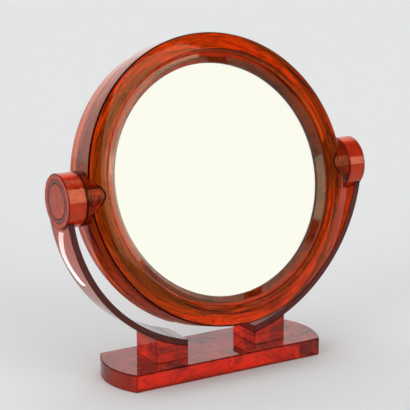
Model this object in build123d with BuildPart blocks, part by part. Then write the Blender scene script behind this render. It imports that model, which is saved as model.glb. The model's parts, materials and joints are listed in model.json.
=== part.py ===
from build123d import *

import os
from math import cos, radians, sin, sqrt

# Tilting table mirror of cast acrylic, in millimetres.
# X runs along the pivot axis, -Y is the front and Z is up.
# The origin is on the table, under the middle of the base plate.

# Base plate
base_front_length = 195.6  # straight part of the long edges
base_depth = 70.5
base_thickness = 16.4
base_end_bulge = 11.0  # how far each short end bows outwards
base_edge_chamfer = 0.7

# Pedestal blocks and the two arms that stand on them
stand_depth = 37.0
block_inner_x = 36.0
block_width = 32.8
block_inner_height = 12.0  # height of a block at its inner end
arm_thickness = 5.7
arm_centre_rise = 4.6  # the arms' arc centre above the pivot axis

# Mirror glasses, one on each side
glass_radius = 114.3
glass_thickness = 3.0
glass_edge_clearance = 0.3
glass_dish = 6.0  # hollow of the magnifying glass at its middle

# Frame: two rings glued face to face at the middle plane, sizes of one ring
frame_tilt = 15.9  # degrees, top leaning back
frame_rim_width = 18.5
frame_face_width = 15.8  # sloping face, from the rim in to the crest
frame_face_rise = 5.7  # from the rim up to the crest
frame_knee_width = 7.9  # inner part of the face, with the gentler slope
frame_knee_fall = 2.0  # from the crest to the knee
frame_edge_chamfer = 1.0  # between the rim and the face
frame_bevel_width = 2.1  # inside the crest, down to the bore
frame_bevel_drop = 2.0
frame_seat_width = 8.6  # flange that the glass rests on
frame_seam_chamfer = 0.35

# Bezels that hold the glasses
bezel_width = 9.2
bezel_foot_drop = 2.1  # below the frame's bevel, where the bezel meets the bore
bezel_face_width = 4.4  # gentle slope, from the bore in to the ridge
bezel_face_rise = 1.1
bezel_lip_fall = 5.8  # steep slope, from the ridge down to the lip's edge
bezel_lip_edge = 0.4  # blunt edge of the lip, on the glass

# Boards and spacer between the two glasses
board_thickness = 3.0
board_clearance = 0.3
dish_clearance = 0.2
spacer_width = 9.0

# Pivots
drum_radius = 24.3
drum_length = 17.3
drum_edge_chamfer = 0.5
bushing_wall = 2.8
journal_radius = 16.1
journal_clearance = 0.08
journal_socket_depth = 3.0
journal_end_chamfer = 0.4
hub_radius = 24.3
hub_taper = 2.2  # degrees, narrowing towards the mirror
hub_web = 4.6  # acrylic between the frame's rim and the hub's shoulder
hub_edge_chamfer = 0.4
washer_thickness = 0.7
washer_edge_step = 2.3  # how far the washer's edge stays inside the drum's
washer_bore_clearance = 0.3
shoulder_gap = 0.1

# Frame and bezel, outwards from the glass
bore_radius = glass_radius + glass_edge_clearance
seat_radius = bore_radius - frame_seat_width
crest_radius = bore_radius + frame_bevel_width
frame_radius = crest_radius + frame_face_width
bezel_inner_radius = bore_radius - bezel_width

# Depths from the middle plane, inwards from the crest
crest_half = frame_rim_width + frame_face_rise
bevel_half = crest_half - frame_bevel_drop
bezel_foot_half = bevel_half - bezel_foot_drop
bezel_ridge_half = bezel_foot_half + bezel_face_rise
bezel_lip_half = bezel_ridge_half - bezel_lip_fall
glass_face_half = bezel_lip_half - bezel_lip_edge
glass_back_half = glass_face_half - glass_thickness

# Pivots and arms, outwards from the frame's rim
hub_shoulder_x = frame_radius + hub_web
drum_inner_x = hub_shoulder_x + shoulder_gap + washer_thickness
drum_outer_x = drum_inner_x + drum_length
bushing_bore_radius = journal_radius + journal_clearance
drum_bore_radius = bushing_bore_radius + bushing_wall
arm_radius = sqrt(drum_outer_x**2 + arm_centre_rise**2)
arm_centre_height = base_thickness + block_inner_height + sqrt(arm_radius**2 - block_inner_x**2)
pivot_height = arm_centre_height - arm_centre_rise

# Planes: the stand is drawn from the front, the pivots along the axis,
# and the mirror in a frame of its own, tilted about the pivot axis.
tilt_cos = cos(radians(frame_tilt))
tilt_sin = sin(radians(frame_tilt))
pivot_point = (0, 0, pivot_height)
facing = (0, -tilt_cos, tilt_sin)
pivot_plane = Plane(origin=pivot_point, x_dir=(0, 1, 0), z_dir=(1, 0, 0))
mirror_plane = Plane(origin=pivot_point, x_dir=(1, 0, 0), z_dir=facing)
section_plane = Plane(origin=pivot_point, x_dir=(1, 0, 0), z_dir=(0, -tilt_sin, -tilt_cos))
mirror_axis = Axis(pivot_point, facing)

# Base plate: long straight edges and bowed short ends
with BuildPart() as base_plate:
    with BuildSketch():
        with BuildLine():
            corner_x = base_front_length / 2
            corner_y = base_depth / 2
            Line((-corner_x, -corner_y), (corner_x, -corner_y))
            ThreePointArc(
                (corner_x, -corner_y), (corner_x + base_end_bulge, 0), (corner_x, corner_y)
            )
            Line((corner_x, corner_y), (-corner_x, corner_y))
            ThreePointArc(
                (-corner_x, corner_y), (-corner_x - base_end_bulge, 0), (-corner_x, -corner_y)
            )
        make_face()
    extrude(amount=base_thickness)
    ends = base_plate.faces().filter_by(Axis.Z)
    chamfer(ends.edges(), base_edge_chamfer)

# Pedestal block: flat underneath, hollowed on top to cradle the arm
with BuildPart() as right_pedestal_block:
    with BuildSketch(Plane.XZ):
        with Locations((block_inner_x, base_thickness)):
            Rectangle(
                block_width, arm_centre_height - base_thickness, align=(Align.MIN, Align.MIN)
            )
        with Locations((0, arm_centre_height)):
            Circle(arm_radius, mode=Mode.SUBTRACT)
    extrude(amount=stand_depth / 2, both=True)

# Arm: a flat strip bent to a circular arc, its top end coped round the drum
with BuildPart() as right_arm:
    with BuildSketch(Plane.XZ):
        with Locations((0, arm_centre_height)):
            Circle(arm_radius)
            Circle(arm_radius - arm_thickness, mode=Mode.SUBTRACT)
        with Locations((block_inner_x, pivot_height)):
            Rectangle(arm_radius, arm_radius, align=(Align.MIN, Align.MAX), mode=Mode.INTERSECT)
    extrude(amount=stand_depth / 2, both=True)
    with BuildSketch(pivot_plane.offset(drum_inner_x)):
        Circle(drum_radius)
    extrude(amount=drum_length + arm_thickness, mode=Mode.SUBTRACT)

# Drum: the bored knuckle at the top of an arm
with BuildPart() as right_pivot_drum:
    with BuildSketch(pivot_plane.offset(drum_inner_x)):
        Circle(drum_radius)
        Circle(drum_bore_radius, mode=Mode.SUBTRACT)
    extrude(amount=drum_length)
    rims = right_pivot_drum.edges().filter_by(GeomType.CIRCLE).sort_by(SortBy.RADIUS)[-2:]
    chamfer(rims, drum_edge_chamfer)

# Bushing: a sleeve pressed into the drum, whose grip holds the tilt
with BuildPart() as right_pivot_bushing:
    with BuildSketch(pivot_plane.offset(drum_inner_x)):
        Circle(drum_bore_radius)
        Circle(bushing_bore_radius, mode=Mode.SUBTRACT)
    extrude(amount=drum_length)

# Washer between the drum and the hub's shoulder
with BuildPart() as right_thrust_washer:
    with BuildSketch(pivot_plane.offset(drum_inner_x)):
        Circle(drum_radius - washer_edge_step)
        Circle(journal_radius + washer_bore_clearance, mode=Mode.SUBTRACT)
    extrude(amount=-washer_thickness)

# Journal: the round stub that turns in the bushing, flush with the drum's face
with BuildPart() as right_pivot_journal:
    with BuildSketch(pivot_plane.offset(hub_shoulder_x - journal_socket_depth)):
        Circle(journal_radius)
    extrude(amount=drum_outer_x - hub_shoulder_x + journal_socket_depth)
    chamfer(right_pivot_journal.faces().sort_by(Axis.X)[-1].edges(), journal_end_chamfer)

# Frame ring: the face rises in two slopes from the rim to a crest, then drops to the bore
with BuildPart() as frame_front_ring:
    with BuildSketch(section_plane):
        with BuildLine():
            Polyline(
                (seat_radius, 0),
                (frame_radius - frame_seam_chamfer, 0),
                (frame_radius, frame_seam_chamfer),
                (frame_radius, frame_rim_width - frame_edge_chamfer),
                (frame_radius - frame_edge_chamfer, frame_rim_width),
                (crest_radius + frame_knee_width, crest_half - frame_knee_fall),
                (crest_radius, crest_half),
                (bore_radius, bevel_half),
                (bore_radius, glass_back_half),
                (seat_radius, glass_back_half),
                close=True,
            )
        make_face()
    revolve(axis=mirror_axis)

# Magnifying glass at the back: a round sheet of even thickness, dished to a large sphere
dish_radius = (glass_radius**2 + glass_dish**2) / (2 * glass_dish)
face_centre = glass_dish - glass_face_half - dish_radius
with BuildPart() as rear_mirror_glass:
    with BuildSketch(mirror_plane.offset(-glass_face_half)):
        Circle(glass_radius)
    extrude(amount=glass_dish + glass_thickness)
    with Locations(mirror_plane.offset(face_centre + glass_thickness)):
        Sphere(dish_radius, rotation=(0, 90, 0), mode=Mode.INTERSECT)
    with Locations(mirror_plane.offset(face_centre)):
        Sphere(dish_radius, rotation=(0, 90, 0), mode=Mode.SUBTRACT)

# The rear ring's seat follows the dished glass
with BuildPart() as frame_rear_ring:
    mirror(frame_front_ring.part, about=mirror_plane)
    add(rear_mirror_glass.part, mode=Mode.SUBTRACT)

# Plain glass in front, seated on the frame's inner flange
with BuildPart() as front_mirror_glass:
    with BuildSketch(mirror_plane.offset(glass_back_half)):
        Circle(glass_radius)
    extrude(amount=glass_thickness)

# Bezels: rings glued into the bore, rising to a ridge and then sloping down to the glass
with BuildPart() as front_bezel_ring:
    with BuildSketch(section_plane):
        with BuildLine():
            Polyline(
                (bore_radius, glass_face_half),
                (bore_radius, bezel_foot_half),
                (bore_radius - bezel_face_width, bezel_ridge_half),
                (bezel_inner_radius, bezel_lip_half),
                (bezel_inner_radius, glass_face_half),
                close=True,
            )
        make_face()
    revolve(axis=mirror_axis)

with BuildPart() as rear_bezel_ring:
    mirror(front_bezel_ring.part, about=mirror_plane)

# Boards that back the two glasses, and the spacer ring that holds them apart
board_radius = seat_radius - board_clearance
front_board_back = glass_back_half - board_thickness
rear_board_back = glass_dish - glass_back_half + dish_clearance + board_thickness

with BuildPart() as front_backing_board:
    with BuildSketch(mirror_plane.offset(front_board_back)):
        Circle(board_radius)
    extrude(amount=board_thickness)

with BuildPart() as rear_backing_board:
    with BuildSketch(mirror_plane.offset(rear_board_back)):
        Circle(board_radius)
    extrude(amount=-board_thickness)

with BuildPart() as spacer_ring:
    with BuildSketch(mirror_plane.offset(rear_board_back)):
        Circle(board_radius)
        Circle(board_radius - spacer_width, mode=Mode.SUBTRACT)
    extrude(amount=front_board_back - rear_board_back)

# Hub: a tapered plug on the pivot axis, notched over the frame's rim, bored for the journal
with BuildPart() as right_pivot_hub:
    with BuildSketch(Plane((hub_shoulder_x, 0, pivot_height), x_dir=(0, 1, 0), z_dir=(-1, 0, 0))):
        Circle(hub_radius)
    extrude(amount=hub_shoulder_x - crest_radius, taper=hub_taper)
    chamfer(right_pivot_hub.faces().sort_by(Axis.X)[-1].edges(), hub_edge_chamfer)
    add(frame_front_ring.part, mode=Mode.SUBTRACT)
    add(frame_rear_ring.part, mode=Mode.SUBTRACT)
    with BuildSketch(pivot_plane.offset(hub_shoulder_x - journal_socket_depth)):
        Circle(journal_radius)
    extrude(amount=journal_socket_depth, mode=Mode.SUBTRACT)

# Each right-hand piece has a mirror twin on the left
with BuildPart() as left_pedestal_block:
    mirror(right_pedestal_block.part, about=Plane.YZ)

with BuildPart() as left_arm:
    mirror(right_arm.part, about=Plane.YZ)

with BuildPart() as left_pivot_drum:
    mirror(right_pivot_drum.part, about=Plane.YZ)

with BuildPart() as left_pivot_bushing:
    mirror(right_pivot_bushing.part, about=Plane.YZ)

with BuildPart() as left_thrust_washer:
    mirror(right_thrust_washer.part, about=Plane.YZ)

with BuildPart() as left_pivot_journal:
    mirror(right_pivot_journal.part, about=Plane.YZ)

with BuildPart() as left_pivot_hub:
    mirror(right_pivot_hub.part, about=Plane.YZ)

pieces = {
    "base_plate": base_plate,
    "left_pedestal_block": left_pedestal_block,
    "right_pedestal_block": right_pedestal_block,
    "left_arm": left_arm,
    "right_arm": right_arm,
    "left_pivot_drum": left_pivot_drum,
    "right_pivot_drum": right_pivot_drum,
    "left_pivot_bushing": left_pivot_bushing,
    "right_pivot_bushing": right_pivot_bushing,
    "left_thrust_washer": left_thrust_washer,
    "right_thrust_washer": right_thrust_washer,
    "left_pivot_journal": left_pivot_journal,
    "right_pivot_journal": right_pivot_journal,
    "left_pivot_hub": left_pivot_hub,
    "right_pivot_hub": right_pivot_hub,
    "frame_front_ring": frame_front_ring,
    "frame_rear_ring": frame_rear_ring,
    "front_bezel_ring": front_bezel_ring,
    "rear_bezel_ring": rear_bezel_ring,
    "front_mirror_glass": front_mirror_glass,
    "rear_mirror_glass": rear_mirror_glass,
    "front_backing_board": front_backing_board,
    "rear_backing_board": rear_backing_board,
    "spacer_ring": spacer_ring,
}

os.makedirs("parts", exist_ok=True)
for node, piece in pieces.items():
    piece.part.label = node
    export_step(piece.part, f"parts/{node}.step")
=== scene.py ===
"""Finishes, turned ring frame, studio and camera for a tilting table mirror of acrylic."""

import json
import math

import bmesh
import bpy
from bpy.props import FloatProperty, FloatVectorProperty, PointerProperty
from mathutils import Matrix, Vector


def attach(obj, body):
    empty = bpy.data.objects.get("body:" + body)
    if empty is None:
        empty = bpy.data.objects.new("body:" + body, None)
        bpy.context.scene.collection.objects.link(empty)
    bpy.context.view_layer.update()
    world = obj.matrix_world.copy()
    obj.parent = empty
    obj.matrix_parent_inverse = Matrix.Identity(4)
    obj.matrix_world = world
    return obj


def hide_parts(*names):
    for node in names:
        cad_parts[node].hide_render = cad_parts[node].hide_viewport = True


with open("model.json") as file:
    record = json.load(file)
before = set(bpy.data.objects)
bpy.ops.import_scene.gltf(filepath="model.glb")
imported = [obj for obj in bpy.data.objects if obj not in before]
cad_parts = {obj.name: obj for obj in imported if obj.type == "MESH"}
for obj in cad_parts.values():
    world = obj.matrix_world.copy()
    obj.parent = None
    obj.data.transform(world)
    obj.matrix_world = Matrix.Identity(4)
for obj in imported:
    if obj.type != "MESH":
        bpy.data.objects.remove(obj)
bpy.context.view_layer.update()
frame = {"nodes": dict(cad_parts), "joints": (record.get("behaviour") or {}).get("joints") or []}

bl_info = {
    "name": "Acrylic Table Mirror",
    "version": (1, 0, 0),
    "blender": (4, 5, 0),
    "location": "3D View > Sidebar > Table Mirror",
    "description": "Dresses a tilting table mirror in marbled acrylic, silvered glass and board",
    "category": "Object",
}

MM = 0.001

# The mirror's own axes at rest: it leans back, and its section is drawn by radius and depth.
# Depth is measured from the middle plane, towards the front glass.
MIRROR_TILT = math.radians(15.9)
MIRROR_CENTRE = Vector(frame["joints"][0]["pos_m"])
MIRROR_FACING = Vector((0.0, -math.cos(MIRROR_TILT), math.sin(MIRROR_TILT)))
MIRROR_UP = Vector((0.0, math.sin(MIRROR_TILT), math.cos(MIRROR_TILT)))
MIRROR_RIGHT = Vector((1.0, 0.0, 0.0))

# Turned pieces: points closer than the same point are joined, and corners sharper than the
# sharp corner are shaded as edges.
TURNED_SIDES = 256
ROUNDING_STEPS = 6
SAME_POINT = 0.001 * MM
SHARP_CORNER = math.radians(24)

# Section of the ring frame's face
CREST_SLOPE = 0.2  # how steeply the face leaves the crest
FACE_STEPS = 14
EDGE_RISE = 0.5 * MM  # how far above the rim the face meets the rim's line, before rounding
ROUNDED_AWAY = 3  # points at the end of the face that the rounded edge takes the place of

# Marbling. Lengths are shares of a cloud's size, smoke is a share of the whole, and detail is the
# number of times that the noise is laid over itself at half the size.
SHEET_DRAW = 1.8  # how many times longer than wide the clouds are in a sheet
RING_DRAW = 8.0  # the same round the ring
SWIRL_PER_CLOUD = 0.6
STIR_CLOUDS = 2.0
CLOUD_MIDDLE = 0.62
CLOUD_SPREAD = 0.3
CLOUD_EDGE = 0.18
CLOUD_ROUGHNESS = 0.65
THREADS_PER_CLOUD = 1.7
THREAD_WIDTH = 0.05
THREAD_SMOKE = 0.6
SWIRL_DETAIL = 1.0
CLOUD_DETAIL = 6.0
THREAD_DETAIL = 2.0
NOISE_MIDDLE = 0.5

# Surface of the acrylic. A face whose normal's upright part is below the first limit is ground,
# and one above the second is polished. One whose normal's depth part is past the last limit,
# to the front or the back, is a front or back edge of an arm, painted darker as painted shade.
ACRYLIC_IOR = 1.49
POLISHED_ROUGHNESS = 0.02
GROUND_ROUGHNESS = 0.5
GROUND_BELOW = -0.95
POLISHED_ABOVE = -0.9
SHADE_PAINTED_FACING = 0.9

# Painted shade: a dark line is painted along the edges of the clear pieces, where real acrylic
# looks dark because its corners bend the light away. The line is full where a normal rounded over
# its width is less like the true one than the first limit, and gone past the second.
EDGE_SHADE_TINT = "#200606"
EDGE_SHADE_RADIUS = 1.6 * MM
EDGE_SAMPLES = 4
EDGE_MARK = "rounded_edge"
CORNER_LIKENESS = 0.975
PLAIN_LIKENESS = 0.998

# Glasses
GLASS_RADIUS = 114.3 * MM
GLASS_FACE_DEPTH = 15.0 * MM
GLASS_THICKNESS = 3.0 * MM
DISH = 6.0 * MM
SILVER_THICKNESS = 0.05 * MM
SILVER_STEPS = 24
GLASS_IOR = 1.52

# Nylon of the sleeves and fibreboard between the glasses
NYLON_IOR = 1.53
NYLON_ROUGHNESS = 0.35
NYLON_CLEARNESS = 0.4
FIBRE_LENGTH = 1.5 * MM
FIBRE_DETAIL = 3.0
DARK_FIBRE = 0.6  # shares of the board's colour
PALE_FIBRE = 1.3
BOARD_ROUGHNESS = 0.85

# The photograph's frame and the camera that was fitted to it, in millimetres and degrees.
PHOTO_PIXELS = 410
FOCAL_PIXELS = 1547.69
SENSOR_WIDTH = 36.0
VIEW_AZIMUTH = -31.06
VIEW_ELEVATION = 14.27
VIEW_DISTANCE = 1407.13
VIEW_TARGET = (-6.74, 0.0, 152.46)

# Glued faces of clear pieces meet exactly, so each piece swells by this much to overlap its
# neighbour. A ray then passes the glue line unbent, as it does in solvent-welded acrylic. The
# sleeves shrink by their gap, so that air lies round them.
GLUE_SWELL = 0.01 * MM
SLEEVE_GAP = 0.03 * MM

# The paper floor. The camera and the polished pieces see it darker than it lights the object.
FLOOR_REACH = 8.0
FLOOR_DROP = 0.2 * MM
SEEN_GAIN = 0.905

# The thin light behind the left arm, in metres
STRIP_TOP = Vector((-0.191, 0.12, 0.090))
STRIP_BOTTOM = Vector((-0.121, 0.12, 0.026))
STRIP_AIM = Vector((-0.143, 0.0, 0.122))
STRIP_WIDTH = 5 * MM

# The lights that the world shows, as ranges of angle: from, to and the softness of both ends, in
# degrees. Azimuth is nought in front of the mirror and grows to the right.
KEY_AZIMUTH = (-6.0, 40.0, 0.8)
KEY_ELEVATION = (-8.0, 60.0, 1.5)
KEY_SLANT = 0.2  # how much the softbox leans, as elevation per azimuth
LAMP_AZIMUTH = (-2.0, 6.0, 1.5)
LAMP_ELEVATION = (20.0, 26.0, 1.5)
FILL_AZIMUTH = (-84.0, -56.0, 2.0)
FILL_ELEVATION = (0.0, 44.0, 2.0)
SWEEP_TURN = (96.0, 200.0, 8.0)  # to either side
SWEEP_ELEVATION = (-90.0, 46.0, 6.0)
TOP_ELEVATION = (62.0, 100.0, 4.0)

# Matt surfaces see this share of the key light and this brightness of the room, so that the
# shadow on the floor is soft. The camera and sharp mirrors see a white backdrop.
KEY_ON_MATT = 0.4
ROOM_ON_MATT = 0.39
BACKDROP_SEEN = 1.03

BASE_AND_BLOCKS = ("base_plate", "left_pedestal_block", "right_pedestal_block")
ARMS = ("left_arm", "right_arm")
PIVOT_PIECES = ("pivot_drum", "pivot_journal")
PIVOTS = tuple(f"{side}_{piece}" for piece in PIVOT_PIECES for side in ("left", "right"))
HUBS = ("left_pivot_hub", "right_pivot_hub")
SLEEVES = ("left_pivot_bushing", "right_pivot_bushing")
WASHERS = ("left_thrust_washer", "right_thrust_washer")
FRAME_RINGS = ("frame_front_ring", "frame_rear_ring")
BEZELS = ("front_bezel_ring", "rear_bezel_ring")
GLASSES = ("front_mirror_glass", "rear_mirror_glass")
BOARDS = ("front_backing_board", "rear_backing_board", "spacer_ring")


def linear(hex_colour):
    """An sRGB hex colour such as #c02010 as linear red, green and blue."""
    channels = [int(hex_colour[i : i + 2], 16) / 255 for i in (1, 3, 5)]
    return [c / 12.92 if c <= 0.04045 else ((c + 0.055) / 1.055) ** 2.4 for c in channels]


def add_node(tree, kind, inputs=None, **settings):
    """Adds a node. Inputs are values, or sockets to link, by the input's name or number."""
    node = tree.nodes.new(kind)
    for name, value in settings.items():
        setattr(node, name, value)
    for key, value in (inputs or {}).items():
        if isinstance(value, bpy.types.NodeSocket):
            tree.links.new(value, node.inputs[key])
        else:
            node.inputs[key].default_value = value
    return node


def new_material(name):
    """A material with an empty node tree."""
    material = bpy.data.materials.new(name)
    material.use_nodes = True
    material.node_tree.nodes.clear()
    return material, material.node_tree


def give(material, node_names):
    """Puts one material on the named pieces of the frame."""
    for name in node_names:
        mesh = frame["nodes"][name].data
        mesh.materials.clear()
        mesh.materials.append(material)


def turned(name, section, material, edges=()):
    """A solid turned about the mirror's axis, from a closed section of (radius, depth) points.

    Edges are the points where a band of a rounded edge begins. Those bands are marked in the mesh,
    so that the material can paint shade on them.
    """
    rings = []
    for radius, depth in section:
        ring = []
        for k in range(TURNED_SIDES):
            angle = 2 * math.pi * k / TURNED_SIDES
            outwards = math.cos(angle) * MIRROR_RIGHT + math.sin(angle) * MIRROR_UP
            ring.append(MIRROR_CENTRE + radius * outwards + depth * MIRROR_FACING)
        rings.append(ring)
    vertices = [vertex for ring in rings for vertex in ring]
    faces = []
    for i in range(len(rings)):
        here, beyond = i * TURNED_SIDES, (i + 1) % len(rings) * TURNED_SIDES
        for k in range(TURNED_SIDES):
            turn = (k + 1) % TURNED_SIDES
            faces.append((here + k, here + turn, beyond + turn, beyond + k))
    mesh = bpy.data.meshes.new(name)
    mesh.from_pydata(vertices, [], faces)
    marks = mesh.attributes.new(EDGE_MARK, "FLOAT", "FACE")
    for i in edges:
        for k in range(TURNED_SIDES):
            marks.data[i * TURNED_SIDES + k].value = 1.0
    shaping = bmesh.new()
    shaping.from_mesh(mesh)
    bmesh.ops.remove_doubles(shaping, verts=shaping.verts, dist=SAME_POINT)
    bmesh.ops.recalc_face_normals(shaping, faces=shaping.faces)
    shaping.to_mesh(mesh)
    shaping.free()
    mesh.shade_smooth()
    mesh.set_sharp_from_angle(angle=SHARP_CORNER)
    mesh.materials.append(material)
    piece = bpy.data.objects.new(name, mesh)
    bpy.context.scene.collection.objects.link(piece)
    return piece


def rounded(before, corner, after, radius):
    """Points of an arc that rounds one corner of a section."""
    corner = Vector(corner)
    way_in = (Vector(before) - corner).normalized()
    way_out = (Vector(after) - corner).normalized()
    half = way_in.angle(way_out) / 2
    reach = radius / math.tan(half)
    centre = corner + (way_in + way_out).normalized() * radius / math.sin(half)
    start = corner + way_in * reach - centre
    end = corner + way_out * reach - centre
    swing = math.pi - 2 * half
    points = []
    for k in range(ROUNDING_STEPS + 1):
        share = k / ROUNDING_STEPS
        arc = start * math.sin((1 - share) * swing) + end * math.sin(share * swing)
        points.append(tuple(centre + arc / math.sin(swing)))
    return points


def opaque(rgb):
    """Linear red, green and blue with full alpha."""
    return (*rgb, 1.0)


def in_the_sheet(tree):
    """The pattern's coordinates in a piece cut from a sheet: the smoke is drawn out along X."""
    place = add_node(tree, "ShaderNodeTexCoord").outputs["Object"]
    return add_node(tree, "ShaderNodeVectorMath", {
        0: place,
        1: (1 / SHEET_DRAW, 1.0, 1.0),
    }, operation="MULTIPLY").outputs["Vector"]


def round_the_mirror(tree):
    """The pattern's coordinates in a ring: the smoke is drawn out round the mirror's axis."""
    place = add_node(tree, "ShaderNodeTexCoord").outputs["Object"]
    local = add_node(tree, "ShaderNodeMapping", {
        "Vector": place,
        "Location": MIRROR_CENTRE,
        "Rotation": (-MIRROR_TILT, 0.0, 0.0),
    }, vector_type="TEXTURE").outputs["Vector"]
    flat = add_node(tree, "ShaderNodeVectorMath", {
        0: local,
        1: (1.0, 0.0, 1.0),
    }, operation="MULTIPLY").outputs["Vector"]
    radius = add_node(tree, "ShaderNodeVectorMath", {0: flat}, operation="LENGTH")
    outwards = add_node(tree, "ShaderNodeVectorMath", {0: flat}, operation="NORMALIZE")
    depth = add_node(tree, "ShaderNodeSeparateXYZ", {"Vector": local}).outputs["Y"]
    across = add_node(tree, "ShaderNodeMath", {
        0: radius.outputs["Value"],
        1: depth,
    }, operation="ADD")
    layer = add_node(tree, "ShaderNodeCombineXYZ", {"Y": across.outputs["Value"]})
    return add_node(tree, "ShaderNodeVectorMath", {
        0: outwards.outputs["Vector"],
        1: (GLASS_RADIUS / RING_DRAW,) * 3,
        2: layer.outputs["Vector"],
    }, operation="MULTIPLY_ADD").outputs["Vector"]


def marbling(tree, place, look):
    """The colour of swirled cast acrylic: clear colour with smoke drawn out in clouds and threads.

    The acrylic is cast from two batches that are stirred once, so the smoke lies in folded clouds
    with thin threads along their edges. Sizes are in metres.
    """
    swirl = add_node(tree, "ShaderNodeTexNoise", {
        "Vector": place,
        "Scale": SWIRL_PER_CLOUD / look.cloud_size,
        "Detail": SWIRL_DETAIL,
    })
    push = add_node(tree, "ShaderNodeVectorMath", {
        0: swirl.outputs["Color"],
        1: (NOISE_MIDDLE,) * 3,
    }, operation="SUBTRACT")
    stir = add_node(tree, "ShaderNodeVectorMath", {
        0: push.outputs["Vector"],
        1: (STIR_CLOUDS * look.cloud_size,) * 3,
        2: place,
    }, operation="MULTIPLY_ADD")
    clouds = add_node(tree, "ShaderNodeTexNoise", {
        "Vector": stir.outputs["Vector"],
        "Scale": 1 / look.cloud_size,
        "Detail": CLOUD_DETAIL,
        "Roughness": CLOUD_ROUGHNESS,
    })
    clear_end = CLOUD_MIDDLE - look.smoke_share * CLOUD_SPREAD
    cloudy = add_node(tree, "ShaderNodeMapRange", {
        "Value": clouds.outputs["Fac"],
        "From Min": clear_end,
        "From Max": clear_end + CLOUD_EDGE,
    }, interpolation_type="SMOOTHSTEP")
    threads = add_node(tree, "ShaderNodeTexNoise", {
        "Vector": stir.outputs["Vector"],
        "Scale": THREADS_PER_CLOUD / look.cloud_size,
        "Detail": THREAD_DETAIL,
    })
    from_middle = add_node(tree, "ShaderNodeMath", {
        0: threads.outputs["Fac"],
        1: NOISE_MIDDLE,
    }, operation="SUBTRACT")
    line = add_node(tree, "ShaderNodeMath", {
        0: from_middle.outputs["Value"],
    }, operation="ABSOLUTE")
    drawn = add_node(tree, "ShaderNodeMapRange", {
        "Value": line.outputs["Value"],
        "From Min": 0.0,
        "From Max": THREAD_WIDTH,
        "To Min": THREAD_SMOKE,
        "To Max": 0.0,
    }, interpolation_type="SMOOTHSTEP")
    smoke = add_node(tree, "ShaderNodeMath", {
        0: cloudy.outputs["Result"],
        1: drawn.outputs["Result"],
    }, operation="MAXIMUM")
    return add_node(tree, "ShaderNodeMix", {
        "Factor": smoke.outputs["Value"],
        "A": opaque(look.clear_colour),
        "B": opaque(look.smoke_colour),
    }, data_type="RGBA").outputs["Result"]


def marked_shade_mask(tree):
    """One on the bands that turned() marked, where shade is painted, and nought elsewhere."""
    return add_node(tree, "ShaderNodeAttribute", attribute_name=EDGE_MARK).outputs["Fac"]


def corner_shade_mask(tree):
    """One along the corners of a clear piece, where shade is painted, as they bend the light away.
    """
    rounded_off = add_node(tree, "ShaderNodeBevel", {"Radius": EDGE_SHADE_RADIUS}, samples=EDGE_SAMPLES)
    true_normal = add_node(tree, "ShaderNodeNewGeometry").outputs["Normal"]
    likeness = add_node(tree, "ShaderNodeVectorMath", {
        0: rounded_off.outputs["Normal"],
        1: true_normal,
    }, operation="DOT_PRODUCT")
    return add_node(tree, "ShaderNodeMapRange", {
        "Value": likeness.outputs["Value"],
        "From Min": CORNER_LIKENESS,
        "From Max": PLAIN_LIKENESS,
        "To Min": 1.0,
        "To Max": 0.0,
    }).outputs["Result"]


def shaded_front_edges(tree, colour, front_edge_shade_colour):
    """The colour of a sheet with painted shade on its front and back edges, for the dark look
    through its width.
    """
    normal = add_node(tree, "ShaderNodeTexCoord").outputs["Normal"]
    part = add_node(tree, "ShaderNodeSeparateXYZ", {"Vector": normal})
    facing = add_node(tree, "ShaderNodeMath", {0: part.outputs["Y"]}, operation="ABSOLUTE")
    edge = add_node(tree, "ShaderNodeMath", {
        0: facing.outputs["Value"],
        1: SHADE_PAINTED_FACING,
    }, operation="GREATER_THAN")
    return add_node(tree, "ShaderNodeMix", {
        "Factor": edge.outputs["Value"],
        "A": colour,
        "B": opaque(front_edge_shade_colour),
    }, data_type="RGBA").outputs["Result"]


def ground_underside(tree):
    """The roughness of a block that was ground flat below and polished elsewhere."""
    normal = add_node(tree, "ShaderNodeTexCoord").outputs["Normal"]
    part = add_node(tree, "ShaderNodeSeparateXYZ", {"Vector": normal})
    return add_node(tree, "ShaderNodeMapRange", {
        "Value": part.outputs["Z"],
        "From Min": GROUND_BELOW,
        "From Max": POLISHED_ABOVE,
        "To Min": GROUND_ROUGHNESS,
        "To Max": POLISHED_ROUGHNESS,
    }).outputs["Result"]


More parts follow.
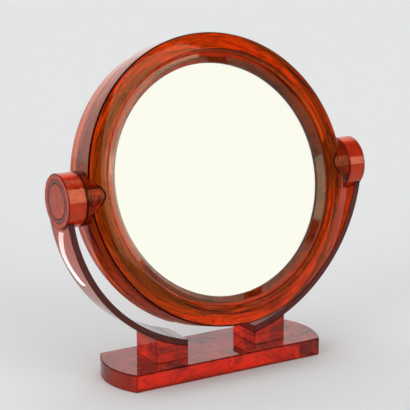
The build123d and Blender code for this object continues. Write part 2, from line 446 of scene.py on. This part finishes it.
def cast_acrylic(name, look, lay=in_the_sheet, line=corner_shade_mask, shade_painted=False, ground=False):
    """Cast acrylic (PMMA), dyed in the mass, machined and then polished with a flame and a buff.

    The dye gives the depth: thin parts glow and thick ones go deep and dark. The polish gives
    the sharp reflections of the studio lights. Lay gives the pattern's coordinates, and line the
    places of the painted shade line along the edges.
    """
    material, tree = new_material(name)
    colour = marbling(tree, lay(tree), look)
    # The front and back edges get painted shade.
    if shade_painted:
        colour = shaded_front_edges(tree, colour, look.front_edge_shade_colour)
    polish = {
        "Base Color": colour,
        "Roughness": ground_underside(tree) if ground else POLISHED_ROUGHNESS,
        "IOR": ACRYLIC_IOR,
        "Specular IOR Level": look.gloss,
        "Specular Tint": opaque(look.gloss_tint),
        "Transmission Weight": 1.0 - look.haze,
    }
    # Painted shade along the edges: a darker colour, with the gloss and the clearness taken away
    if line:
        edge = line(tree)
        polish["Base Color"] = add_node(tree, "ShaderNodeMix", {
            "Factor": edge,
            "A": colour,
            "B": opaque(look.corner_shade_colour),
        }, data_type="RGBA").outputs["Result"]
        for socket in ("Specular IOR Level", "Transmission Weight"):
            polish[socket] = add_node(tree, "ShaderNodeMapRange", {
                "Value": edge,
                "To Min": polish[socket],
                "To Max": 0.0,
            }).outputs["Result"]
    shader = add_node(tree, "ShaderNodeBsdfPrincipled", polish)
    swell = add_node(tree, "ShaderNodeDisplacement", {
        "Height": 1.0,
        "Midlevel": 0.0,
        "Scale": GLUE_SWELL,
    })
    add_node(tree, "ShaderNodeOutputMaterial", {
        "Surface": shader.outputs["BSDF"],
        "Volume": absorbing(tree, look.dye_absorption),
        "Displacement": swell.outputs["Displacement"],
    })
    material.displacement_method = "DISPLACEMENT"
    return material


def turned_nylon(colour):
    """Nylon (PA6), dyed dark and turned: waxy, with a soft broad sheen.

    The sleeve is loose in its bore. The air round it lets the bore's wall shine.
    """
    material, tree = new_material("turned_dyed_nylon")
    shader = add_node(tree, "ShaderNodeBsdfPrincipled", {
        "Base Color": opaque(colour),
        "Roughness": NYLON_ROUGHNESS,
        "IOR": NYLON_IOR,
        "Transmission Weight": NYLON_CLEARNESS,
    })
    gap = add_node(tree, "ShaderNodeDisplacement", {
        "Height": 1.0,
        "Midlevel": 0.0,
        "Scale": -SLEEVE_GAP,
    })
    add_node(tree, "ShaderNodeOutputMaterial", {
        "Surface": shader.outputs["BSDF"],
        "Displacement": gap.outputs["Displacement"],
    })
    material.displacement_method = "DISPLACEMENT"
    return material


def absorbing(tree, losses):
    """The volume of a body that loses these shares of red, green and blue in a metre."""
    most = max(losses)
    # Absorption per metre is one less the colour, times the density.
    return add_node(tree, "ShaderNodeVolumeAbsorption", {
        "Color": opaque([1 - loss / most for loss in losses]),
        "Density": most,
    }).outputs["Volume"]


def float_glass(look):
    """Soda-lime float glass: clear through its face and green along its edge."""
    material, tree = new_material("soda_lime_float_glass")
    shader = add_node(tree, "ShaderNodeBsdfPrincipled", {
        "Base Color": (1.0, 1.0, 1.0, 1.0),
        "Roughness": 0.0,
        "IOR": GLASS_IOR,
        "Transmission Weight": 1.0,
    })
    add_node(tree, "ShaderNodeOutputMaterial", {
        "Surface": shader.outputs["BSDF"],
        "Volume": absorbing(tree, look.glass_absorption),
    })
    return material


def silvering(tint):
    """Silver laid on the back of the glass: a clean bright reflection, a little warm."""
    material, tree = new_material("chemical_silvering")
    shader = add_node(tree, "ShaderNodeBsdfPrincipled", {
        "Base Color": opaque(tint),
        "Metallic": 1.0,
        "Roughness": 0.0,
    })
    add_node(tree, "ShaderNodeOutputMaterial", {"Surface": shader.outputs["BSDF"]})
    return material


def pressed_fibreboard(colour):
    """Hard-pressed wood fibre, matt and finely mottled."""
    material, tree = new_material("pressed_fibreboard")
    place = add_node(tree, "ShaderNodeTexCoord").outputs["Object"]
    fibres = add_node(tree, "ShaderNodeTexNoise", {
        "Vector": place,
        "Scale": 1 / FIBRE_LENGTH,
        "Detail": FIBRE_DETAIL,
    })
    mottled = add_node(tree, "ShaderNodeMix", {
        "Factor": fibres.outputs["Fac"],
        "A": opaque([DARK_FIBRE * c for c in colour]),
        "B": opaque([PALE_FIBRE * c for c in colour]),
    }, data_type="RGBA")
    shader = add_node(tree, "ShaderNodeBsdfPrincipled", {
        "Base Color": mottled.outputs["Result"],
        "Roughness": BOARD_ROUGHNESS,
    })
    add_node(tree, "ShaderNodeOutputMaterial", {"Surface": shader.outputs["BSDF"]})
    return material


def colour_property(name, description, hex_colour):
    """A colour, given in sRGB hex."""
    return FloatVectorProperty(
        name=name, description=description, default=linear(hex_colour),
        subtype="COLOR", size=3, min=0.0, max=1.0,
    )


def absorption_property(default):
    """What a body loses inside."""
    return FloatVectorProperty(
        name="Absorption", description="Red, green and blue lost inside, per metre",
        default=default, size=3, min=0.0,
    )


def length_property(name, description, millimetres):
    """A length, given in millimetres."""
    return FloatProperty(
        name=name, description=description, default=millimetres * MM, min=0.0,
        subtype="DISTANCE", unit="LENGTH",
    )


def share_property(name, description, default):
    """A share from nought to one."""
    return FloatProperty(
        name=name, description=description, default=default, min=0.0, max=1.0,
        subtype="FACTOR",
    )


def brightness_property(name, description, default):
    """A light's brightness, of which 1 shows as white."""
    return FloatProperty(name=name, description=description, default=default, min=0.0)


def clear_property(hex_colour):
    """The acrylic's own colour."""
    return colour_property("Clear colour", "Tint of the acrylic between the clouds", hex_colour)


def smoke_property(hex_colour):
    """The colour of the marbling's smoke."""
    return colour_property("Smoke colour", "Tint of the acrylic inside the clouds", hex_colour)


def cloud_size_property(millimetres):
    """The size of the marbling."""
    return FloatProperty(
        name="Cloud size", description="Size of a cloud of smoke in the marbling",
        default=millimetres * MM, min=1 * MM, subtype="DISTANCE", unit="LENGTH",
    )


def smoke_share_property(default):
    """How smoky the marbling is."""
    return share_property("Smoke share", "How much of the acrylic is smoky", default)


def corner_shade_property():
    """The colour of the painted shade line along the edges, the same in all the acrylics."""
    return colour_property("Line colour", "Tint of the thin dark line along each edge", EDGE_SHADE_TINT)


def gloss_property(default):
    """The strength of the polish."""
    return share_property("Gloss", "Strength of the polished surface's reflections", default)


def gloss_tint_property(hex_colour):
    """The colour of what the polish reflects."""
    return colour_property("Gloss tint", "Tint of the polished surface's reflections", hex_colour)


def haze_property(default):
    """How milky the acrylic is."""
    description = "Share of the light that the pigment scatters at the surface"
    return share_property("Haze", description, default)


class StandAcrylic(bpy.types.PropertyGroup):
    """Red acrylic of the base and the blocks, with darker red smoke."""

    clear_colour: clear_property("#fc4212")
    smoke_colour: smoke_property("#6c1008")
    dye_absorption: absorption_property((4.0, 25.0, 27.0))
    cloud_size: cloud_size_property(22)
    smoke_share: smoke_share_property(0.45)
    corner_shade_colour: corner_shade_property()
    gloss: gloss_property(0.5)
    gloss_tint: gloss_tint_property("#ffe4d4")
    haze: haze_property(0.16)


class PivotAcrylic(bpy.types.PropertyGroup):
    """Red acrylic rod of the drums, journals and washers."""

    clear_colour: clear_property("#fc4a22")
    smoke_colour: smoke_property("#c03016")
    dye_absorption: absorption_property((2.0, 18.0, 20.0))
    cloud_size: cloud_size_property(18)
    smoke_share: smoke_share_property(0.2)
    corner_shade_colour: corner_shade_property()
    gloss: gloss_property(0.75)
    gloss_tint: gloss_tint_property("#ffd0a0")
    haze: haze_property(0.3)


class HubAcrylic(bpy.types.PropertyGroup):
    """Tortoise acrylic rod of the two hubs, browner than the drums."""

    clear_colour: clear_property("#f0500e")
    smoke_colour: smoke_property("#5c1404")
    dye_absorption: absorption_property((5.0, 26.0, 30.0))
    cloud_size: cloud_size_property(12)
    smoke_share: smoke_share_property(0.5)
    corner_shade_colour: corner_shade_property()
    gloss: gloss_property(0.5)
    # A dim tint, as painted shade: it keeps the key light's bright band off the hubs.
    gloss_tint: gloss_tint_property("#a87450")
    haze: haze_property(0.15)


class ArmAcrylic(bpy.types.PropertyGroup):
    """Red acrylic strip of the two arms, bright through its face, with painted shade on its edges.
    """

    clear_colour: clear_property("#c43c12")
    smoke_colour: smoke_property("#901e10")
    # Painted shade on the arms' front and back edges.
    front_edge_shade_colour: colour_property("Edge colour", "Tint of the sawn front and back edges", "#6c2018")
    dye_absorption: absorption_property((10.0, 20.0, 20.0))
    cloud_size: cloud_size_property(30)
    smoke_share: smoke_share_property(0.2)
    corner_shade_colour: corner_shade_property()
    gloss: gloss_property(0.5)
    gloss_tint: gloss_tint_property("#ffe4d4")
    haze: haze_property(0.05)


class FrameAcrylic(bpy.types.PropertyGroup):
    """Tortoise acrylic of the ring frame, amber with brown smoke."""

    clear_colour: clear_property("#fe6e0e")
    smoke_colour: smoke_property("#541404")
    dye_absorption: absorption_property((2.0, 16.0, 26.0))
    cloud_size: cloud_size_property(7)
    smoke_share: smoke_share_property(0.45)
    corner_shade_colour: corner_shade_property()
    gloss: gloss_property(0.5)
    gloss_tint: gloss_tint_property("#cca078")
    haze: haze_property(0.18)


class FrameSection(bpy.types.PropertyGroup):
    """Section of the ring frame. It is symmetric about the seam between its two halves."""

    seat_radius: length_property("Seat radius", "Inner edge of the flange under the glass", 106.0)
    bore_radius: length_property("Bore radius", "Bore that the glass and the bezel sit in", 114.6)
    crest_radius: length_property("Crest radius", "Highest line of the face", 116.7)
    rim_radius: length_property("Rim radius", "Outer radius of the frame", 132.5)
    rim_width: length_property("Rim width", "Depth of the rim, from the seam to the face", 18.5)
    crest_depth: length_property("Crest depth", "From the seam to the crest", 24.2)
    bore_depth: length_property("Bore depth", "From the seam to the edge of the bore", 22.2)
    seat_depth: length_property("Seat depth", "From the seam to the seat of the glass", 12.0)
    seam_chamfer: length_property("Seam chamfer", "Between the rim and the seam", 0.35)
    edge_round: length_property("Edge round", "Rounding of the edge between rim and face", 2.6)
    crest_round: length_property("Crest round", "Rounding of the crest", 0.5)


class BezelAcrylic(bpy.types.PropertyGroup):
    """Tortoise acrylic of the two thin bezels."""

    clear_colour: clear_property("#c0481a")
    smoke_colour: smoke_property("#5c2010")
    dye_absorption: absorption_property((12.0, 40.0, 40.0))
    cloud_size: cloud_size_property(6)
    smoke_share: smoke_share_property(0.4)
    gloss: gloss_property(0.7)
    gloss_tint: gloss_tint_property("#fff4c8")
    haze: haze_property(0.25)


class GlassAndBoard(bpy.types.PropertyGroup):
    """Glass and board inside the frame."""

    sleeve_colour: colour_property("Sleeve colour", "Colour of the nylon sleeves", "#7c2016")
    silver_tint: colour_property("Silver tint", "Colour of the silver behind the glass", "#fbf9ec")
    board_colour: colour_property("Board colour", "Colour of the fibreboard", "#6a5844")
    glass_absorption: absorption_property((4.0, 1.0, 2.5))


class Studio(bpy.types.PropertyGroup):
    """Floor, backdrop and light."""

    floor_colour: colour_property("Floor colour", "Colour of the paper floor", "#e5e6e6")
    room_light: brightness_property("Room light", "Brightness of the room beside the lights", 0.12)
    top_light: brightness_property("Top light", "Brightness of the light overhead", 1.0)
    sweep_light: brightness_property("Sweep light", "Brightness of the white sweep behind", 1.0)
    key_light: brightness_property("Key light", "Brightness of the large softbox", 3.7)
    fill_light: brightness_property("Fill light", "Brightness of the small softbox", 2.8)
    strip_light: FloatProperty(
        name="Strip light", description="Power of the narrow light behind the left arm",
        default=0.005, min=0.0, precision=4, unit="POWER",
    )


class TABLEMIRROR_OT_base(bpy.types.Operator):
    """Dress the base plate and the two blocks"""

    bl_idname = "tablemirror.base"
    bl_label = "Base and Blocks"

    def execute(self, context):
        # Thick cast blocks, polished all round but ground flat below: deep red and glossy, with
        # an underside that scatters what is seen through it.
        stand = context.scene.mirror_stand
        give(cast_acrylic("cast_red_acrylic_polished", stand, ground=True), BASE_AND_BLOCKS)
        return {"FINISHED"}


class TABLEMIRROR_OT_arms(bpy.types.Operator):
    """Dress the two bent arms"""

    bl_idname = "tablemirror.arms"
    bl_label = "Arms"

    def execute(self, context):
        # Polished strip, bent warm after sawing: bright through its face, with painted shade
        # along its front and back edges.
        arms = context.scene.mirror_arms
        give(cast_acrylic("bent_red_acrylic_strip", arms, shade_painted=True), ARMS)
        return {"FINISHED"}


class TABLEMIRROR_OT_pivots(bpy.types.Operator):
    """Dress the drums, sleeves, journals, washers and hubs"""

    bl_idname = "tablemirror.pivots"
    bl_label = "Pivots"

    def execute(self, context):
        # Turned and buffed rod: round and bright, with a band of light along each drum. The hubs
        # are turned from the browner stuff of the frame.
        pivots = context.scene.mirror_pivots
        hubs = context.scene.mirror_hubs
        give(cast_acrylic("turned_red_acrylic_rod", pivots), PIVOTS + WASHERS)
        give(cast_acrylic("turned_tortoise_acrylic_rod", hubs), HUBS)
        give(turned_nylon(context.scene.mirror_inside.sleeve_colour), SLEEVES)
        return {"FINISHED"}


def frame_face(cut):
    """The bowed face from the crest out to the rim, as (radius, depth) points.

    It leaves the crest at CREST_SLOPE and steepens evenly on the way out.
    """
    width = cut.rim_radius - cut.crest_radius
    fall = cut.crest_depth - cut.rim_width - EDGE_RISE
    bow = (fall - CREST_SLOPE * width) / width**2
    points = []
    for k in range(FACE_STEPS + 1):
        out = width * k / FACE_STEPS
        points.append((cut.crest_radius + out, cut.crest_depth - CREST_SLOPE * out - bow * out**2))
    return points


def frame_half(cut, side):
    """The closed section of one half of the frame. Side is 1 for the front and -1 for the rear.

    The rear seat follows the dished glass, which comes nearer to the seam towards its middle.
    With the section come its points that turned() marks for the painted shade line.
    """
    face = frame_face(cut)
    bore = (cut.bore_radius, cut.bore_depth)
    seat_lift = 0.0 if side > 0 else DISH * (1 - (cut.seat_radius / GLASS_RADIUS) ** 2)
    rim_edge = rounded((cut.rim_radius, 0.0), face[-1], face[-2], cut.edge_round)
    crest_edge = rounded(face[1], face[0], bore, cut.crest_round)
    points = [
        (cut.seat_radius, 0.0),
        (cut.rim_radius - cut.seam_chamfer, 0.0),
        (cut.rim_radius, cut.seam_chamfer),
        *rim_edge,
        *face[-1 - ROUNDED_AWAY : 0 : -1],
        *crest_edge,
        bore,
        (cut.bore_radius, cut.seat_depth),
        (cut.seat_radius, cut.seat_depth - seat_lift),
    ]
    edges = [points.index(point) for point in rim_edge[1:-2] + crest_edge[:-1]]
    return [(radius, side * depth) for radius, depth in points], edges


class TABLEMIRROR_OT_frame(bpy.types.Operator):
    """Turn the two halves of the ring frame"""

    bl_idname = "tablemirror.frame"
    bl_label = "Ring Frame"

    def execute(self, context):
        # Turned from a cast ring and buffed: the smoke runs round it and its face mirrors the
        # lights in long bands.
        look = context.scene.mirror_frame
        acrylic = cast_acrylic("turned_tortoise_acrylic", look, round_the_mirror, marked_shade_mask)
        for node, side in zip(FRAME_RINGS, (1, -1)):
            section, edges = frame_half(context.scene.frame_section, side)
            ring = turned(f"{node}_turned", section, acrylic, edges)
            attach(ring, "mirror")
            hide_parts(node)
        return {"FINISHED"}


class TABLEMIRROR_OT_bezels(bpy.types.Operator):
    """Dress the two bezels that hold the glasses"""

    bl_idname = "tablemirror.bezels"
    bl_label = "Bezels"

    def execute(self, context):
        # Thin turned rings, so fine that they need no painted shade line along their edges: they
        # look paler than the frame where they mirror the lights and the silver.
        bezels = cast_acrylic(
            "turned_tortoise_acrylic_bezel", context.scene.mirror_bezels,
            round_the_mirror, line=None,
        )
        give(bezels, BEZELS)
        return {"FINISHED"}


def silver_section(side):
    """The closed section of the silver on the back of one glass, just inside its surface.

    The front glass is flat and the rear one is dished.
    """
    dish, steps = (0.0, 1) if side > 0 else (DISH, SILVER_STEPS)
    back, front = [], []
    for k in range(steps + 1):
        radius = (GLASS_RADIUS - SILVER_THICKNESS) * k / steps
        hollow = dish * (1 - (radius / GLASS_RADIUS) ** 2)
        depth = GLASS_FACE_DEPTH - GLASS_THICKNESS - hollow + SILVER_THICKNESS
        back.append((radius, side * depth))
        front.append((radius, side * (depth + SILVER_THICKNESS)))
    return back + front[::-1]


class TABLEMIRROR_OT_glasses(bpy.types.Operator):
    """Polish the two glasses and silver their backs"""

    bl_idname = "tablemirror.glasses"
    bl_label = "Mirror Glasses"

    def execute(self, context):
        inside = context.scene.mirror_inside
        give(float_glass(inside), GLASSES)
        metal = silvering(inside.silver_tint)
        for node, side in zip(GLASSES, (1, -1)):
            silver = turned(f"{node}_silver", silver_section(side), metal)
            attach(silver, "mirror")
        return {"FINISHED"}


class TABLEMIRROR_OT_boards(bpy.types.Operator):
    """Dress the boards and the spacer between the glasses"""

    bl_idname = "tablemirror.boards"
    bl_label = "Backing Boards"

    def execute(self, context):
        give(pressed_fibreboard(context.scene.mirror_inside.board_colour), BOARDS)
        return {"FINISHED"}


def make_camera():
    """The camera at the photograph's place: 31 degrees left of the front, 14 above."""
    azimuth = math.radians(VIEW_AZIMUTH)
    elevation = math.radians(VIEW_ELEVATION)
    back = Vector((
        math.sin(azimuth) * math.cos(elevation),
        -math.cos(azimuth) * math.cos(elevation),
        math.sin(elevation),
    ))
    camera = bpy.data.objects.new("photo_camera", bpy.data.cameras.new("photo_camera"))
    camera.data.sensor_width = SENSOR_WIDTH
    camera.data.lens = FOCAL_PIXELS / PHOTO_PIXELS * SENSOR_WIDTH
    camera.location = (Vector(VIEW_TARGET) + back * VIEW_DISTANCE) * MM
    camera.rotation_euler = (-back).to_track_quat("-Z", "Y").to_euler()
    bpy.context.scene.collection.objects.link(camera)
    bpy.context.scene.camera = camera


def make_strip(power):
    """A thin tube of light low behind the left arm, whose reflection is the white streak down it.

    It lights that arm alone. The camera doesn't see it, nor is it seen through the acrylic.
    """
    along = STRIP_BOTTOM - STRIP_TOP
    middle = (STRIP_BOTTOM + STRIP_TOP) / 2
    away = (middle - STRIP_AIM).normalized()
    across = away.cross(along).normalized()
    lamp = bpy.data.lights.new("strip_light", "AREA")
    lamp.shape = "RECTANGLE"
    lamp.size = along.length
    lamp.size_y = STRIP_WIDTH
    lamp.energy = power
    strip = bpy.data.objects.new("strip_light", lamp)
    turn = Matrix((across.cross(away), across, away)).transposed()
    strip.matrix_world = Matrix.Translation(middle) @ turn.to_4x4()
    strip.visible_camera = False
    strip.visible_diffuse = False
    strip.visible_transmission = False
    bpy.context.scene.collection.objects.link(strip)
    lit_pieces = bpy.data.collections.new("lit_by_strip")
    lit_pieces.objects.link(frame["nodes"]["left_arm"])
    strip.light_linking.receiver_collection = lit_pieces


def seamless_paper(colour):
    """Seamless background paper: matt, with no shine of its own.

    The camera and the polished pieces see it a little darker than it lights the object.
    """
    material, tree = new_material("seamless_paper")
    path = add_node(tree, "ShaderNodeLightPath")
    shiny = add_node(tree, "ShaderNodeMath", {
        0: path.outputs["Is Camera Ray"],
        1: path.outputs["Is Glossy Ray"],
    }, operation="MAXIMUM")
    seen = add_node(tree, "ShaderNodeMath", {
        0: shiny.outputs["Value"],
        1: path.outputs["Is Transmission Ray"],
    }, operation="MAXIMUM")
    shown = add_node(tree, "ShaderNodeMix", {
        "Factor": seen.outputs["Value"],
        "A": opaque(colour),
        "B": opaque([SEEN_GAIN * c for c in colour]),
    }, data_type="RGBA")
    paper = add_node(tree, "ShaderNodeBsdfDiffuse", {"Color": shown.outputs["Result"]})
    add_node(tree, "ShaderNodeOutputMaterial", {"Surface": paper.outputs["BSDF"]})
    return material


def make_floor(colour):
    """A pale paper floor, just under the base."""
    mesh = bpy.data.meshes.new("studio_floor")
    corners = [
        (-FLOOR_REACH, -FLOOR_REACH, 0.0),
        (FLOOR_REACH, -FLOOR_REACH, 0.0),
        (FLOOR_REACH, FLOOR_REACH, 0.0),
        (-FLOOR_REACH, FLOOR_REACH, 0.0),
    ]
    mesh.from_pydata(corners, [], [(0, 1, 2, 3)])
    mesh.materials.append(seamless_paper(colour))
    floor = bpy.data.objects.new("studio_floor", mesh)
    floor.location.z = -FLOOR_DROP
    bpy.context.scene.collection.objects.link(floor)


def softbox(tree, strength, *sides):
    """A light's strength where every angle lies in its range, and nought elsewhere.

    Each side is an angle's socket and its range, as (from, to, softness) in degrees.
    """
    for angle, (low, high, soft) in sides:
        opened = add_node(tree, "ShaderNodeMapRange", {
            "Value": angle,
            "From Min": math.radians(low - soft),
            "From Max": math.radians(low + soft),
        }, interpolation_type="SMOOTHSTEP")
        closed = add_node(tree, "ShaderNodeMapRange", {
            "Value": angle,
            "From Min": math.radians(high - soft),
            "From Max": math.radians(high + soft),
            "To Min": 1.0,
            "To Max": 0.0,
        }, interpolation_type="SMOOTHSTEP")
        inside = add_node(tree, "ShaderNodeMath", {
            0: opened.outputs["Result"],
            1: closed.outputs["Result"],
        }, operation="MULTIPLY")
        strength = add_node(tree, "ShaderNodeMath", {
            0: inside.outputs["Value"],
            1: strength,
        }, operation="MULTIPLY").outputs["Value"]
    return strength


def make_world(studio):
    """The studio around the object, in a dim room with a white backdrop.

    There is a white sweep behind, a large softbox with a bright lamp in it at the right of the
    front, a small softbox at the left and a light overhead.
    """
    world = bpy.data.worlds.new("studio")
    bpy.context.scene.world = world
    world.use_nodes = True
    tree = world.node_tree
    tree.nodes.clear()
    way = add_node(tree, "ShaderNodeTexCoord").outputs["Generated"]
    part = add_node(tree, "ShaderNodeSeparateXYZ", {"Vector": way})
    front = add_node(tree, "ShaderNodeMath", {0: part.outputs["Y"], 1: -1.0}, operation="MULTIPLY")
    azimuth = add_node(tree, "ShaderNodeMath", {
        0: part.outputs["X"],
        1: front.outputs["Value"],
    }, operation="ARCTAN2").outputs["Value"]
    elevation = add_node(tree, "ShaderNodeMath", {
        0: part.outputs["Z"],
    }, operation="ARCSINE").outputs["Value"]
    to_a_side = add_node(tree, "ShaderNodeMath", {
        0: azimuth,
    }, operation="ABSOLUTE").outputs["Value"]
    leaning = add_node(tree, "ShaderNodeMath", {
        0: azimuth,
        1: KEY_SLANT,
        2: elevation,
    }, operation="MULTIPLY_ADD").outputs["Value"]
    path = add_node(tree, "ShaderNodeLightPath")
    sharp = add_node(tree, "ShaderNodeMath", {
        0: path.outputs["Is Glossy Ray"],
        1: path.outputs["Is Transmission Ray"],
    }, operation="MAXIMUM").outputs["Value"]
    key_strength, total = [
        add_node(tree, "ShaderNodeMapRange", {
            "Value": sharp,
            "To Min": on_matt,
            "To Max": on_polished,
        }).outputs["Result"]
        for on_matt, on_polished in (
            (KEY_ON_MATT * studio.key_light, studio.key_light),
            (ROOM_ON_MATT, studio.room_light),
        )
    ]
    for strength, *sides in (
        (key_strength, (azimuth, KEY_AZIMUTH), (leaning, KEY_ELEVATION)),
        (studio.key_light, (azimuth, LAMP_AZIMUTH), (elevation, LAMP_ELEVATION)),
        (studio.fill_light, (azimuth, FILL_AZIMUTH), (elevation, FILL_ELEVATION)),
        (studio.sweep_light, (to_a_side, SWEEP_TURN), (elevation, SWEEP_ELEVATION)),
        (studio.top_light, (elevation, TOP_ELEVATION)),
    ):
        total = add_node(tree, "ShaderNodeMath", {
            0: softbox(tree, strength, *sides),
            1: total,
        }, operation="ADD").outputs["Value"]
    plain = add_node(tree, "ShaderNodeMath", {
        0: path.outputs["Is Singular Ray"],
        1: path.outputs["Is Camera Ray"],
    }, operation="MAXIMUM")
    shown = add_node(tree, "ShaderNodeMix", {
        "Factor": plain.outputs["Value"],
        "A": total,
        "B": BACKDROP_SEEN,
    })
    light = add_node(tree, "ShaderNodeBackground", {
        "Color": opaque((1.0, 1.0, 1.0)),
        "Strength": shown.outputs["Result"],
    })
    add_node(tree, "ShaderNodeOutputWorld", {"Surface": light.outputs["Background"]})


class TABLEMIRROR_OT_stage(bpy.types.Operator):
    """Set up the camera, the pale floor and the soft light"""

    bl_idname = "tablemirror.stage"
    bl_label = "Studio"

    def execute(self, context):
        context.scene.view_settings.view_transform = "Standard"
        make_camera()
        make_strip(context.scene.mirror_studio.strip_light)
        make_floor(context.scene.mirror_studio.floor_colour)
        make_world(context.scene.mirror_studio)
        return {"FINISHED"}


GROUPS = {
    "mirror_stand": StandAcrylic,
    "mirror_pivots": PivotAcrylic,
    "mirror_hubs": HubAcrylic,
    "mirror_arms": ArmAcrylic,
    "mirror_frame": FrameAcrylic,
    "frame_section": FrameSection,
    "mirror_bezels": BezelAcrylic,
    "mirror_inside": GlassAndBoard,
    "mirror_studio": Studio,
}

OPERATORS = (
    TABLEMIRROR_OT_base,
    TABLEMIRROR_OT_arms,
    TABLEMIRROR_OT_pivots,
    TABLEMIRROR_OT_frame,
    TABLEMIRROR_OT_bezels,
    TABLEMIRROR_OT_glasses,
    TABLEMIRROR_OT_boards,
    TABLEMIRROR_OT_stage,
)


class TABLEMIRROR_PT_panel(bpy.types.Panel):
    """Lists the sizes and colours of each group of pieces, and the steps that dress them"""

    bl_idname = "TABLEMIRROR_PT_panel"
    bl_label = "Table Mirror"
    bl_space_type = "VIEW_3D"
    bl_region_type = "UI"
    bl_category = "Table Mirror"

    def draw(self, context):
        for name, group in GROUPS.items():
            box = self.layout.box()
            box.label(text=group.__doc__)
            for prop in group.__annotations__:
                box.prop(getattr(context.scene, name), prop)
        for operator in OPERATORS:
            self.layout.operator(operator.bl_idname)


def register():
    """Register the groups, the steps and the panel."""
    for group in GROUPS.values():
        bpy.utils.register_class(group)
    for name, group in GROUPS.items():
        setattr(bpy.types.Scene, name, PointerProperty(type=group))
    for operator in OPERATORS:
        bpy.utils.register_class(operator)
    bpy.utils.register_class(TABLEMIRROR_PT_panel)


def unregister():
    """Take them away again, in the opposite order."""
    bpy.utils.unregister_class(TABLEMIRROR_PT_panel)
    for operator in reversed(OPERATORS):
        bpy.utils.unregister_class(operator)
    for name in GROUPS:
        delattr(bpy.types.Scene, name)
    for group in reversed(GROUPS.values()):
        bpy.utils.unregister_class(group)


def main():
    """Dress the mirror and set up the studio."""
    register()
    bpy.ops.tablemirror.base()
    bpy.ops.tablemirror.arms()
    bpy.ops.tablemirror.pivots()
    bpy.ops.tablemirror.frame()
    bpy.ops.tablemirror.bezels()
    bpy.ops.tablemirror.glasses()
    bpy.ops.tablemirror.boards()
    bpy.ops.tablemirror.stage()


if __name__ == "__main__":
    main()
